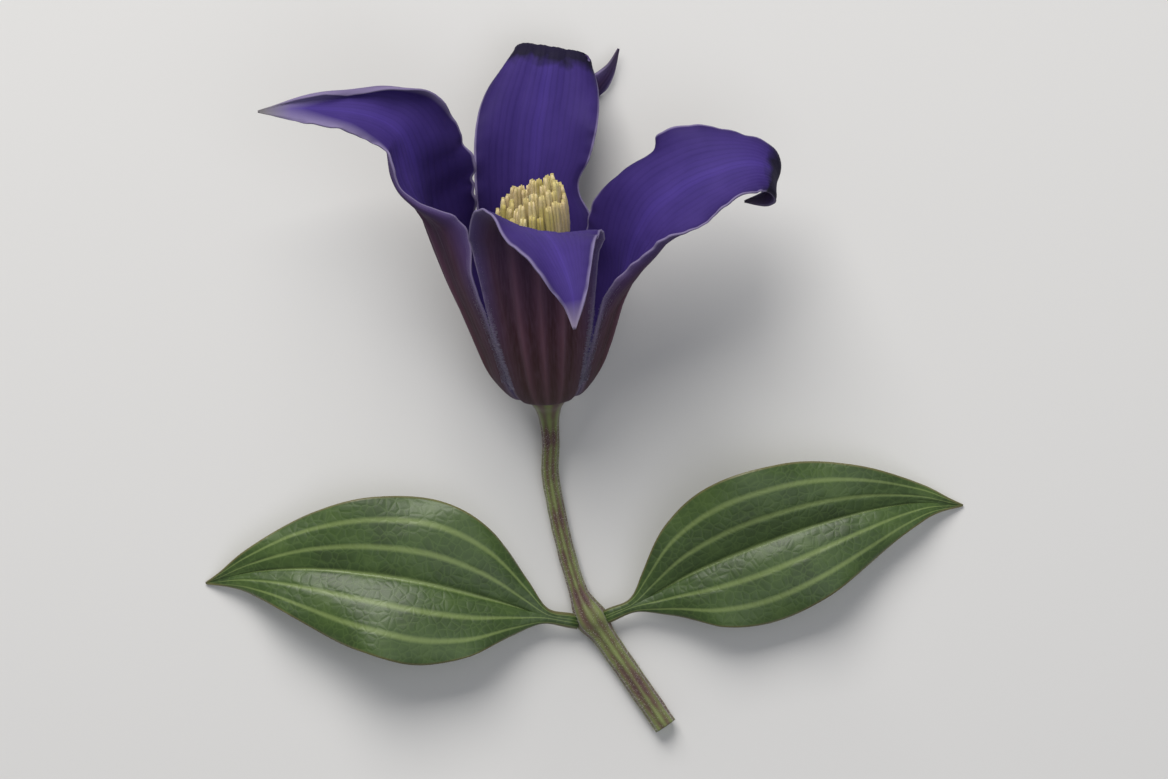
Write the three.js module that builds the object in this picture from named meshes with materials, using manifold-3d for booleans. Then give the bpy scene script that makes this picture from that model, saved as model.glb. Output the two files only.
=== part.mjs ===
import * as THREE from 'three';
import { mergeVertices } from 'three/addons/utils/BufferGeometryUtils.js';
import Module from 'manifold-3d';

// A cut clematis flower lying on a surface, in millimetres, +Z up.
// Four sepals stand round a brush of stamens on the end of a short stalk,
// which keeps one pair of leaves. The flower rests on its stem, on the leaf tips
// and on the curled tip of its back sepal.

// Driving dimensions
const axisTilt = THREE.MathUtils.degToRad(28);
const axisLean = THREE.MathUtils.degToRad(4);
const receptacleLift = 6.4;
const boxMiddle = { x: 4.943, y: 0.76 };

const sepalWidth = 19.2;
const sepalThickness = 0.7;
const sepalBaseThickness = 0.9;
const ribHeight = 0.4;
const sepalGap = 0.25;
const cupLobing = 0.2;
const widening = 0.07;
const sepalRun = 60;
const sepalRows = 26;

const leafThickness = 0.65;
const petioleSwell = 0.35;
const midribHeight = 0.45;
const midribGroove = 0.3;
const leafRun = 54;
const leafRows = 18;

const stalkSides = 8;
const stemRadius = 1.55;
const peduncleRadius = 1.15;
const nodeRadius = 2.2;
const receptacleRadius = 2.85;
const receptacleTop = 0.9;
const seatGap = 0.3;

// The flower's own frame: the axis leans up from the surface and a little to the left,
// and back is the direction square to it that points away from the viewer and down.
const upAxis = new THREE.Vector3(0, 0, 1);
const axis = new THREE.Vector3(0, Math.cos(axisTilt), Math.sin(axisTilt)).applyAxisAngle(upAxis, axisLean);
const back = new THREE.Vector3(0, Math.sin(axisTilt), -Math.cos(axisTilt)).applyAxisAngle(upAxis, axisLean);
const right = new THREE.Vector3(1, 0, 0).applyAxisAngle(upAxis, axisLean);
const receptacle = new THREE.Vector3(-boxMiddle.x, -boxMiddle.y, receptacleLift);

// A point at a radius and height on the flower, drifted sideways, at an azimuth in degrees
function flowerPoint(azimuth, radius, drift, height) {
  const angle = THREE.MathUtils.degToRad(azimuth);
  const outward = right.clone().multiplyScalar(Math.cos(angle)).addScaledVector(back, Math.sin(angle));
  const sideways = right.clone().multiplyScalar(-Math.sin(angle)).addScaledVector(back, Math.cos(angle));
  return receptacle
    .clone()
    .addScaledVector(outward, radius)
    .addScaledVector(sideways, drift)
    .addScaledVector(axis, height);
}

// A smooth value at t through [t, value] stations, with slopes taken from the neighbours
function along(stations, t) {
  const last = stations.length - 1;
  let k = 0;
  while (k < last - 1 && t > stations[k + 1][0]) {
    k += 1;
  }
  const slope = (i) => {
    const before = stations[Math.max(i - 1, 0)];
    const after = stations[Math.min(i + 1, last)];
    return (after[1] - before[1]) / (after[0] - before[0]);
  };
  const span = stations[k + 1][0] - stations[k][0];
  const x = THREE.MathUtils.clamp((t - stations[k][0]) / span, 0, 1);
  const rise = 3 * x ** 2 - 2 * x ** 3;
  const ends = (1 - rise) * stations[k][1] + rise * stations[k + 1][1];
  const start = (x ** 3 - 2 * x ** 2 + x) * span * slope(k);
  const finish = (x ** 3 - x ** 2) * span * slope(k + 1);
  return ends + start + finish;
}

// A line through points as three station lists, with t from 0 to 1 by length along the points
function lineStations(points) {
  const vectors = points.map((p) => new THREE.Vector3(...p));
  const travelled = [0];
  for (let i = 1; i < vectors.length; i += 1) {
    travelled.push(travelled[i - 1] + vectors[i].distanceTo(vectors[i - 1]));
  }
  const total = travelled[travelled.length - 1];
  return [0, 1, 2].map((part) => points.map((p, i) => [travelled[i] / total, p[part]]));
}

function pointOnLine(stations, t) {
  return new THREE.Vector3(...stations.map((list) => along(list, t)));
}

function directionOnLine(stations, t) {
  const step = 0.004;
  const before = pointOnLine(stations, Math.max(t - step, 0));
  const after = pointOnLine(stations, Math.min(t + step, 1));
  return after.sub(before).normalize();
}

// How far across and how far inward a cross-section has come at width w, as it turns
function crossSection(turn, w) {
  const steps = 12;
  const step = w / steps;
  let across = 0;
  let inward = 0;
  for (let i = 0; i < steps; i += 1) {
    const angle = turn((i + 0.5) * step);
    across += Math.cos(angle) * step;
    inward += Math.sin(angle) * step;
  }
  return [across, inward];
}

// A closed thin solid from a grid of points, both faces split alike, with a rim all round
function bladeGeometry(grid, upperOffset, lowerOffset) {
  const rows = grid.length;
  const columns = grid[0].length;
  const positions = [];
  const normalAt = (i, j) => {
    const lengthwise = grid[Math.min(i + 1, rows - 1)][j].clone().sub(grid[Math.max(i - 1, 0)][j]);
    const across = grid[i][Math.min(j + 1, columns - 1)].clone().sub(grid[i][Math.max(j - 1, 0)]);
    return lengthwise.cross(across).normalize();
  };
  for (const side of [1, -1]) {
    for (let i = 0; i < rows; i += 1) {
      for (let j = 0; j < columns; j += 1) {
        const offset = side > 0 ? upperOffset(i, j) : -lowerOffset(i, j);
        const point = grid[i][j].clone().addScaledVector(normalAt(i, j), offset);
        positions.push(point.x, point.y, Math.max(point.z, 0));
      }
    }
  }
  const upper = (i, j) => i * columns + j;
  const lower = (i, j) => rows * columns + i * columns + j;
  const index = [];
  const quad = (a, b, c, d) => index.push(a, b, c, a, c, d);
  for (let i = 0; i < rows - 1; i += 1) {
    for (let j = 0; j < columns - 1; j += 1) {
      quad(upper(i, j), upper(i + 1, j), upper(i + 1, j + 1), upper(i, j + 1));
      index.push(lower(i, j), lower(i + 1, j + 1), lower(i + 1, j));
      index.push(lower(i, j), lower(i, j + 1), lower(i + 1, j + 1));
    }
    const end = columns - 1;
    quad(upper(i, 0), lower(i, 0), lower(i + 1, 0), upper(i + 1, 0));
    quad(upper(i, end), upper(i + 1, end), lower(i + 1, end), lower(i, end));
  }
  for (let j = 0; j < columns - 1; j += 1) {
    const end = rows - 1;
    quad(upper(0, j), upper(0, j + 1), lower(0, j + 1), lower(0, j));
    quad(upper(end, j), lower(end, j), lower(end, j + 1), upper(end, j + 1));
  }
  const geometry = new THREE.BufferGeometry();
  geometry.setAttribute('position', new THREE.Float32BufferAttribute(positions, 3));
  geometry.setIndex(index);
  geometry.computeVertexNormals();
  return geometry;
}

// Sepals. Each runs up the shared cup and then along its own limb.
// A line's points are [radius, drift, height] on the flower.
const cupLine = [
  [3.05, 0, 0.9],
  [5.3, 0, 1.8],
  [7.2, 0, 4.6],
];

// Flat width along a sepal, as a share of sepalWidth
const sepalOutline = [
  [0, 0.3],
  [0.08, 0.55],
  [0.2, 0.84],
  [0.38, 1],
  [0.56, 0.97],
  [0.7, 0.78],
  [0.8, 0.52],
  [0.88, 0.3],
  [0.94, 0.15],
  [1, 0.05],
];

// Where the columns of a sepal lie across it: the ribs are the fourth, the middle and the fourth last
const sepalColumns = [-1, -0.82, -0.6, -0.34, -0.17, 0, 0.17, 0.34, 0.6, 0.82, 1];
const ribColumns = [3, 5, 7];

// Each sepal: the side of the flower it stands on, its line, its width as a share of sepalWidth, and the
// stretch over which its own section takes over from the cup's. Then, as [t, value] stations along it,
// channel is the bend across it in 1/mm, roll its turn about its line in degrees, fullness each half's width
// as a share, and curl the turn of each margin in radians, which begins at curlStart of the half width.
const sepals = {
  sepal_back: {
    azimuth: 90,
    limb: [
      [8.7, 0, 9],
      [10.1, 0, 14],
      [11.5, 0, 20],
      [13, -0.2, 26.5],
      [15.2, -1.1, 32.8],
      [18, -2.7, 38.4],
      [19.9, -3.4, 41.1],
      [21.3, -3.6, 41.7],
      [22.4, -3.6, 40.1],
      [22.8, -4, 37.1],
      [22.7, -5.4, 34.6],
      [22.8, -7.6, 33.6],
      [23.4, -9.8, 34.6],
      [24.6, -11.6, 36.4],
      [26, -12.9, 38.6],
    ],
    share: 0.88,
    leavesCup: [0.28, 0.46],
    channel: [
      [0, 0.1], [0.3, 0.1], [0.45, 0.09], [0.55, 0.06], [0.63, 0.02], [0.7, -0.03], [0.76, 0.03],
      [0.82, 0.22], [0.9, 0.2], [1, 0.1],
    ],
    roll: [[0, 0], [0.5, 0], [1, 0]],
    curl: {
      plus: [[0, -0.25], [0.46, -0.3], [0.58, -1.5], [0.68, -2.1], [0.76, -1.4], [0.86, -0.25], [1, -0.25]],
      minus: [
        [0, -0.25], [0.28, -0.85], [0.36, -0.85], [0.42, -0.5], [0.48, -0.25], [0.6, -0.6], [0.72, -1.4],
        [0.84, -0.4], [1, -0.25],
      ],
    },
    fullness: {
      plus: [[0, 1], [0.6, 1], [0.66, 0.95], [0.7, 0.86], [0.76, 0.86], [0.86, 1], [1, 1]],
      minus: [
        [0, 1], [0.33, 1], [0.365, 0.92], [0.4, 0.76], [0.435, 0.74], [0.48, 0.9], [0.54, 0.98], [0.6, 1],
        [1, 1],
      ],
    },
    curlStart: { plus: 0.5, minus: 0.5 },
    wave: { height: 0.6, length: 10.5, phase: 0.4 },
  },
  sepal_left: {
    azimuth: 180,
    limb: [
      [8.7, 0, 9],
      [10.1, 0, 13.4],
      [11.9, 0, 19],
      [13.5, 0, 24.6],
      [14.8, 0, 30],
      [15.6, 0, 34.4],
      [16.1, 0, 38],
      [17.2, 0, 41],
      [20.7, 0, 43.5],
      [27.4, 0, 45],
      [35.4, 0, 45.3],
    ],
    share: 0.92,
    leavesCup: [0.28, 0.46],
    channel: [[0, 0.1], [0.3, 0.1], [0.42, 0.13], [0.52, 0.13], [0.6, 0.07], [0.68, 0.03], [0.8, 0.04], [1, 0.15]],
    roll: [[0, 0], [0.48, 0], [0.56, -22], [0.64, -50], [0.74, -40], [1, -30]],
    curl: {
      plus: [
        [0, -0.25], [0.34, -0.25], [0.41, -0.1], [0.48, 0.9], [0.56, 1.7], [0.64, 1.5], [0.72, 0.6],
        [0.8, 0.1], [1, -0.3],
      ],
      minus: [
        [0, -0.25], [0.3, -0.1], [0.38, 0.6], [0.48, 0.8], [0.58, 0.2], [0.66, 0], [0.74, 2.6], [0.84, 3.2],
        [0.92, 3], [1, 1],
      ],
    },
    fullness: {
      plus: [[0, 1], [0.46, 1], [0.55, 0.9], [0.62, 0.72], [0.7, 0.56], [0.77, 0.62], [0.84, 0.85], [0.9, 1], [1, 1]],
      minus: [
        [0, 1], [0.34, 1], [0.4, 1.08], [0.46, 1.15], [0.52, 1.16], [0.58, 1.12], [0.66, 1.06], [0.74, 1],
        [1, 1],
      ],
    },
    curlStart: { plus: 0.5, minus: 0.25 },
    wave: { height: 0.8, length: 11, phase: 2.2 },
  },
  sepal_right: {
    azimuth: 0,
    limb: [
      [9.1, 0, 9.2],
      [10.8, 0, 14.5],
      [12.3, 0, 19.5],
      [13.8, 0, 23.6],
      [16.2, 0, 27.2],
      [21.2, 0.1, 30.5],
      [26, 0.4, 32.1],
      [29.6, 0.8, 32.2],
      [31.7, 1.3, 30.8],
      [32.3, 1.9, 28.2],
      [31, 2.8, 26],
      [28.2, 3.8, 25.2],
    ],
    share: 1,
    leavesCup: [0.18, 0.32],
    channel: [[0, 0.12], [0.25, 0.12], [0.36, 0.09], [0.48, 0.05], [0.6, 0.04], [0.8, 0.02], [1, 0.08]],
    roll: [[0, 0], [0.28, 0], [0.4, 18], [0.5, 28], [0.6, 32], [0.8, 32], [1, 20]],
    curl: {
      plus: [
        [0, -0.25], [0.28, -0.1], [0.36, -0.1], [0.41, -0.3], [0.45, -0.6], [0.54, -2.2], [0.592, -2.2],
        [0.622, -0.3], [0.7, -0.5], [0.85, -0.3], [1, -0.2],
      ],
      minus: [
        [0, -0.25], [0.28, -0.2], [0.34, 0.8], [0.42, 1.8], [0.5, 1.5], [0.6, 0.9], [0.76, 0.9],
        [0.88, -0.2], [1, -0.3],
      ],
    },
    fullness: {
      plus: [[0, 1], [1, 1]],
      minus: [[0, 1], [1, 1]],
    },
    curlStart: { plus: 0.5, minus: 0.5 },
    wave: { height: 0.8, length: 12, phase: 3.6 },
  },
  sepal_front: {
    azimuth: 270,
    limb: [
      [8.7, 0, 9],
      [10, 0, 14],
      [11.1, 0, 19.5],
      [11.7, 0, 24],
      [12.1, 0, 28],
      [13.6, 0.2, 31.4],
      [17.2, 1.2, 32.9],
      [21.4, 2.5, 32.8],
      [25.2, 3.7, 31],
      [27.9, 4.4, 28.6],
      [29.8, 4.3, 25.2],
    ],
    share: 1,
    leavesCup: [0.36, 0.6],
    channel: [[0, 0.1], [0.3, 0.1], [0.48, 0.085], [0.58, 0.05], [0.7, 0.05], [1, 0.12]],
    roll: [[0, 0], [0.5, 0], [0.62, -8], [0.8, 6], [1, 50]],
    curl: {
      plus: [[0, -0.25], [1, -0.35]],
      minus: [[0, -0.25], [1, -0.35]],
    },
    fullness: {
      plus: [[0, 1], [1, 1]],
      minus: [[0, 1], [1, 1]],
    },
    curlStart: { plus: 0.5, minus: 0.5 },
    wave: { height: 0.6, length: 10, phase: 1.4 },
  },
};

// In the cup a sepal's half width ends a small gap short of the plane midway to its neighbour.
// Past the cup it widens to its natural half width over the share of its line called widening.
function halfWidthInCup(radius, bend) {
  const reach = (radius - bend - sepalGap * Math.SQRT2) / (bend * Math.SQRT2);
  return bend * (Math.PI / 4 + Math.asin(THREE.MathUtils.clamp(reach, -1, 1)));
}

// The frame is carried along the sepal's line without twist.
function sepalGrid(sepal) {
  const stations = lineStations([...cupLine, ...sepal.limb]);
  const sideways = new THREE.Vector3(0, 1, 0);
  let before = directionOnLine(stations, 0);
  const grid = [];
  for (let i = 0; i <= sepalRows; i += 1) {
    const t = i / sepalRows;
    const centre = pointOnLine(stations, t);
    const forward = directionOnLine(stations, t);
    sideways.applyQuaternion(new THREE.Quaternion().setFromUnitVectors(before, forward));
    before = forward;
    const inner = forward.clone().cross(sideways);
    const roll = THREE.MathUtils.degToRad(along(sepal.roll, t));
    const across = sideways.clone().multiplyScalar(Math.cos(roll)).addScaledVector(inner, Math.sin(roll));
    const rolledInner = inner.clone().multiplyScalar(Math.cos(roll)).addScaledVector(sideways, -Math.sin(roll));
    const limbShare = THREE.MathUtils.smoothstep(t, ...sepal.leavesCup);
    const inward = new THREE.Vector3(-1, 0, 0).lerp(rolledInner, limbShare).normalize();
    const bend = centre.x * (1 - cupLobing * THREE.MathUtils.smoothstep(t, 0.02, 0.15));
    const curvature = THREE.MathUtils.lerp(1 / bend, along(sepal.channel, t), limbShare);
    const natural = (sepalWidth * sepal.share * along(sepalOutline, t)) / 2;
    const inCup = Math.min(natural, halfWidthInCup(centre.x, bend));
    const pastCup = THREE.MathUtils.smoothstep(t, sepal.leavesCup[1], sepal.leavesCup[1] + widening);
    const halfWidth = THREE.MathUtils.lerp(inCup, natural, pastCup);
    const row = sepalColumns.map((u) => {
      const side = u > 0 ? 'plus' : 'minus';
      const sideWidth = halfWidth * along(sepal.fullness[side], t);
      const start = sepal.curlStart[side];
      const curl = along(sepal.curl[side], t) * THREE.MathUtils.smoothstep(t, 0.1, 0.3);
      const curled = (w) => Math.max((Math.abs(w) / sideWidth - start) / (1 - start), 0) ** 2;
      const turn = (w) => curvature * w + Math.sign(w) * curl * curled(w);
      const [sideStep, inStep] = crossSection(turn, u * sideWidth);
      const waveShare = THREE.MathUtils.smoothstep(t, 0.4, 0.6) * Math.abs(u) ** 3;
      const turnOfWave = (2 * Math.PI * t * sepalRun) / sepal.wave.length + sepal.wave.phase + (u > 0 ? 1.9 : 0);
      const wave = sepal.wave.height * waveShare * Math.sin(turnOfWave) * Math.min(halfWidth / 4, 1);
      const point = centre
        .clone()
        .addScaledVector(across, sideStep)
        .addScaledVector(inward, inStep)
        .addScaledVector(rolledInner, wave);
      return flowerPoint(sepal.azimuth, point.x, point.y, point.z);
    });
    grid.push(row);
  }
  return grid;
}

function sepalGeometry(sepal) {
  const thickness = (i) => {
    const t = i / sepalRows;
    return THREE.MathUtils.lerp(sepalBaseThickness, sepalThickness, THREE.MathUtils.smoothstep(t, 0, 0.2));
  };
  const ribs = (i, j) => {
    const t = i / sepalRows;
    const share = THREE.MathUtils.smoothstep(t, 0.04, 0.16) * (1 - THREE.MathUtils.smoothstep(t, 0.6, 0.9));
    return ribColumns.includes(j) ? ribHeight * share : 0;
  };
  return bladeGeometry(
    sepalGrid(sepal),
    (i) => thickness(i) / 2,
    (i, j) => thickness(i) / 2 + ribs(i, j),
  );
}

// Leaves. Points of a midrib are [x, y, z] from the point on the surface below the receptacle.
const leafOutline = [
  [0, 0.09],
  [0.07, 0.1],
  [0.14, 0.34],
  [0.26, 0.78],
  [0.4, 1],
  [0.55, 0.93],
  [0.7, 0.68],
  [0.84, 0.34],
  [0.94, 0.11],
  [1, 0.04],
];
const leafColumns = [-1, -0.7, -0.4, -0.12, 0, 0.12, 0.4, 0.7, 1];

const leaves = {
  leaf_left: {
    width: 23,
    midrib: [
      [3.05, -30.6, 2.3],
      [0, -30, 3],
      [-8, -27.6, 5.2],
      [-19, -25, 6.6],
      [-31, -23.6, 5.4],
      [-40, -24, 2.9],
      [-46.5, -25.6, 0.25],
    ],
    roll: [[0, 0], [0.4, 7], [1, 0]],
    fold: 0.42,
    droop: 0.62,
    wave: { height: 0.7, length: 15, phase: 0.5 },
  },
  leaf_right: {
    width: 21.5,
    midrib: [
      [8.45, -29.9, 2.3],
      [12, -28.3, 3],
      [20, -23.9, 4.9],
      [31, -19.4, 6],
      [42, -16, 4.8],
      [50.5, -14.6, 2.4],
      [56.5, -15, 0.25],
    ],
    roll: [[0, 0], [0.4, 9], [1, 0]],
    fold: 0.5,
    droop: 0.7,
    wave: { height: 0.6, length: 17, phase: 2.6 },
  },
};

function leafGrid(leaf) {
  const stations = lineStations(leaf.midrib);
  const grid = [];
  for (let i = 0; i <= leafRows; i += 1) {
    const t = i / leafRows;
    const centre = pointOnLine(stations, t);
    const forward = directionOnLine(stations, t);
    const sideways = new THREE.Vector3(0, 0, 1).cross(forward).normalize();
    const upward = forward.clone().cross(sideways);
    const roll = THREE.MathUtils.degToRad(along(leaf.roll, t));
    const across = sideways.clone().multiplyScalar(Math.cos(roll)).addScaledVector(upward, Math.sin(roll));
    const normal = upward.clone().multiplyScalar(Math.cos(roll)).addScaledVector(sideways, -Math.sin(roll));
    const halfWidth = (leaf.width * along(leafOutline, t)) / 2;
    const row = leafColumns.map((u) => {
      const turn = (w) => Math.sign(w) * (leaf.fold - (leaf.droop * Math.abs(w)) / halfWidth);
      const [sideStep, upStep] = crossSection(turn, u * halfWidth);
      const turnOfWave = (2 * Math.PI * t * leafRun) / leaf.wave.length + leaf.wave.phase + (u > 0 ? 2.3 : 0);
      const wave = leaf.wave.height * Math.abs(u) ** 3 * Math.sin(turnOfWave) * Math.min(halfWidth / 5, 1);
      return new THREE.Vector3(-boxMiddle.x, -boxMiddle.y, 0)
        .add(centre)
        .addScaledVector(across, sideStep)
        .addScaledVector(normal, upStep + wave);
    });
    grid.push(row);
  }
  return grid;
}

function leafGeometry(leaf) {
  const stiff = (i) => 1 - THREE.MathUtils.smoothstep(i / leafRows, 0.04, 0.16);
  const middle = leafColumns.indexOf(0);
  const midrib = (i, j) => (j === middle ? midribHeight * (1 - i / leafRows) : 0);
  return bladeGeometry(
    leafGrid(leaf),
    (i, j) => leafThickness / 2 + petioleSwell * stiff(i) - midribGroove * midrib(i, j) * (1 - stiff(i)),
    (i, j) => leafThickness / 2 + petioleSwell * stiff(i) + midrib(i, j),
  );
}

// A closed solid through rings with the same number of points, capped at both ends
function loftGeometry(rings) {
  const sides = rings[0].length;
  const positions = rings.flat().flatMap((p) => [p.x, p.y, p.z]);
  const index = [];
  for (let i = 0; i < rings.length - 1; i += 1) {
    for (let j = 0; j < sides; j += 1) {
      const next = (j + 1) % sides;
      const a = i * sides + j;
      const b = i * sides + next;
      index.push(a, b, b + sides, a, b + sides, a + sides);
    }
  }
  const top = (rings.length - 1) * sides;
  for (let j = 1; j < sides - 1; j += 1) {
    index.push(0, j + 1, j);
    index.push(top, top + j, top + j + 1);
  }
  const geometry = new THREE.BufferGeometry();
  geometry.setAttribute('position', new THREE.Float32BufferAttribute(positions, 3));
  geometry.setIndex(index);
  geometry.computeVertexNormals();
  return geometry;
}

// A ring of points round a centre, square to a direction, with one flat side underneath
function ringAround(centre, forward, radius, sides) {
  const sideways = forward.clone().cross(new THREE.Vector3(0, 0, 1)).normalize();
  const upward = sideways.clone().cross(forward);
  const points = [];
  for (let j = 0; j < sides; j += 1) {
    const angle = ((j + 0.5) / sides) * 2 * Math.PI;
    const point = centre
      .clone()
      .addScaledVector(upward, -radius * Math.cos(angle))
      .addScaledVector(sideways, -radius * Math.sin(angle));
    points.push(point);
  }
  return points;
}

// Stalk: the stem lies on the surface, thickens at the node, and the flower stalk
// above it lifts to the receptacle. Points are [x, y] from below the receptacle.
const stemEnd = [16.2, -45.2];
const stemLevelTo = [9.2, -35];
const nodePlace = [6, -30.4];

function stalkGeometry() {
  const flat = Math.cos(Math.PI / stalkSides);
  const place = (x, y, z) => new THREE.Vector3(x - boxMiddle.x, y - boxMiddle.y, z);
  const down = (height) => flowerPoint(0, 0, 0, height);
  const stations = [
    [place(...stemEnd, stemRadius * flat), stemRadius],
    [place(...stemLevelTo, stemRadius * flat), stemRadius],
    [place(7.4, -32.4, stemRadius * flat + 0.3), stemRadius * 1.08],
    [place(...nodePlace, nodeRadius * flat), nodeRadius],
    [place(5, -28.6, nodeRadius * flat - 0.1), nodeRadius * 0.8],
    [place(4.2, -26.8, 1.75), peduncleRadius * 1.1],
    [place(2.6, -21.6, 1.35), peduncleRadius],
    [place(1.2, -15.6, 1.35), peduncleRadius],
    [place(0.35, -10.6, 1.85), peduncleRadius],
    [down(-7.4), peduncleRadius],
    [down(-4.2), peduncleRadius * 1.15],
    [down(-1.9), peduncleRadius * 1.6],
    [down(-0.5), receptacleRadius * 0.93],
    [down(0.3), receptacleRadius],
    [down(receptacleTop), receptacleRadius * 0.94],
  ];
  const rings = stations.map(([centre, radius], i) => {
    const before = stations[Math.max(i - 1, 0)][0];
    const after = stations[Math.min(i + 1, stations.length - 1)][0];
    const level = i < 2;
    const forward = after.clone().sub(before).setZ(level ? 0 : after.z - before.z).normalize();
    return ringAround(centre, forward, radius, stalkSides);
  });
  return loftGeometry(rings);
}

// Repeatable random numbers from 0 to 1
function seededRandom(seed) {
  let state = seed;
  return () => {
    state = (state * 16807) % 2147483647;
    return state / 2147483647;
  };
}

// manifold-3d joins the stamens, and the pistils, in one solid each
const wasm = await Module();
wasm.setup();

function toSolid(geometry) {
  const bare = geometry.clone();
  bare.deleteAttribute('normal');
  bare.deleteAttribute('uv');
  const merged = mergeVertices(bare, 1e-5);
  const vertProperties = new Float32Array(merged.attributes.position.array);
  const triVerts = new Uint32Array(merged.index.array);
  return new wasm.Manifold(new wasm.Mesh({ numProp: 3, vertProperties, triVerts }));
}

function fused(geometries) {
  const solid = wasm.Manifold.union(geometries.map(toSolid));
  const mesh = solid.getMesh();
  const geometry = new THREE.BufferGeometry();
  geometry.setAttribute('position', new THREE.Float32BufferAttribute(mesh.vertProperties, 3));
  geometry.setIndex(Array.from(mesh.triVerts));
  geometry.computeVertexNormals();
  return geometry;
}

// A slender upright body: stations are [radius, height, width, depth] at one azimuth
function slenderBody(azimuth, stations, sides) {
  const rings = stations.map(([radius, height, width, depth]) => {
    const points = [];
    for (let j = 0; j < sides; j += 1) {
      const angle = ((j + 0.5) / sides) * 2 * Math.PI;
      const outStep = (Math.cos(angle) * depth) / Math.SQRT2;
      const sideStep = (Math.sin(angle) * width) / Math.SQRT2;
      points.push(flowerPoint(azimuth, radius + outStep, sideStep, height));
    }
    return points;
  });
  return loftGeometry(rings);
}

// A ring of points round the flower's axis at one height
function turnedRing(radius, height, sides) {
  return Array.from({ length: sides }, (_, j) => flowerPoint((360 * j) / sides, radius, 0, height));
}

// A ring square to the flower's axis, as a lathe turned into place
function turnedGeometry(profile, sides) {
  const geometry = new THREE.LatheGeometry(profile.map((p) => new THREE.Vector2(...p)), sides);
  const turn = new THREE.Matrix4().makeBasis(right, axis, back.clone().negate());
  geometry.applyMatrix4(turn);
  geometry.translate(receptacle.x, receptacle.y, receptacle.z);
  return geometry;
}

// Stamens in whorls: radius at the root and at the top, and the height of the anthers' tips
const whorls = [
  { count: 13, root: 1.95, top: 2.15, height: 31.4 },
  { count: 18, root: 2.2, top: 3.15, height: 31 },
  { count: 23, root: 2.45, top: 4.1, height: 29.4 },
];
const antherLength = 7;
const rightSideLift = 1.5;
const leftSideSpread = 0.9;
const stamenRing = { inner: 1.7, outer: 2.6, height: 0.9, sides: 24 };

function stamensGeometry() {
  const random = seededRandom(41);
  const floor = receptacleTop + seatGap;
  const { inner, outer, height: ringHeight, sides } = stamenRing;
  const ring = [[inner, floor], [outer, floor], [outer, floor + ringHeight], [inner, floor + ringHeight]];
  const pieces = [turnedGeometry([...ring, ring[0]], sides)];
  whorls.forEach((whorl, order) => {
    for (let k = 0; k < whorl.count; k += 1) {
      const azimuth = (360 * (k + 0.37 * order + 0.06 * random())) / whorl.count;
      const rightward = Math.cos(THREE.MathUtils.degToRad(azimuth));
      const height = whorl.height + rightSideLift * rightward + 1.6 * (random() - 0.6);
      const top = whorl.top + (leftSideSpread * (1 - rightward)) / 2;
      const middle = (whorl.root + top) / 2 + 0.3;
      const stations = [
        [whorl.root, floor + 0.4, 0.42, 0.26],
        [middle, height * 0.5, 0.5, 0.4],
        [top, height - antherLength, 0.6, 0.5],
        [top, height - antherLength * 0.8, 1.1, 0.78],
        [top - 0.05, height - antherLength * 0.1, 1.05, 0.76],
        [top - 0.1, height, 0.6, 0.45],
      ];
      pieces.push(slenderBody(azimuth, stations, 4));
    }
  });
  return fused(pieces);
}

// Pistils: the low core of ovaries, with the silky styles standing close together on it
const styleCount = 9;

function pistilsGeometry() {
  const random = seededRandom(17);
  const floor = receptacleTop + seatGap;
  const core = [[1, floor], [1.35, floor + 1.2], [1.3, floor + 3.4], [0.5, floor + 6]];
  const pieces = [loftGeometry(core.map(([radius, height]) => turnedRing(radius, height, 8)))];
  for (let k = 0; k < styleCount; k += 1) {
    const azimuth = (360 * (k + 0.15 * random())) / styleCount;
    const height = 28.6 + 1.6 * random();
    const stations = [
      [0.75, floor + 2, 0.3, 0.3],
      [0.85, floor + 6, 0.42, 0.36],
      [0.9, 19, 0.36, 0.32],
      [1.2, height, 0.2, 0.2],
    ];
    pieces.push(slenderBody(azimuth, stations, 4));
  }
  const middle = [[0.16, floor + 3], [0.26, floor + 8], [0.24, 20], [0.12, 29.6]];
  pieces.push(loftGeometry(middle.map(([radius, height]) => turnedRing(radius, height, 5))));
  return fused(pieces);
}

function finish(color, roughness) {
  return new THREE.MeshStandardMaterial({ color, roughness, metalness: 0 });
}

const flower = new THREE.Group();

function addPiece(name, geometry, material) {
  const mesh = new THREE.Mesh(geometry, material);
  mesh.name = name;
  flower.add(mesh);
}

addPiece('stalk', stalkGeometry(), finish(0x5d5a35, 0.7));
for (const [name, sepal] of Object.entries(sepals)) {
  addPiece(name, sepalGeometry(sepal), finish(0x4c3f86, 0.6));
}
addPiece('stamens', stamensGeometry(), finish(0xc9bf7c, 0.7));
addPiece('pistils', pistilsGeometry(), finish(0xa39c6a, 0.7));
for (const [name, leaf] of Object.entries(leaves)) {
  addPiece(name, leafGeometry(leaf), finish(0x3f5a26, 0.5));
}

export default flower;
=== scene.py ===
import random
from math import asin, atan2, copysign, cos, exp, pi, radians, sin, sqrt

import bmesh
import bpy
from mathutils import Matrix, Vector, noise


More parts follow.
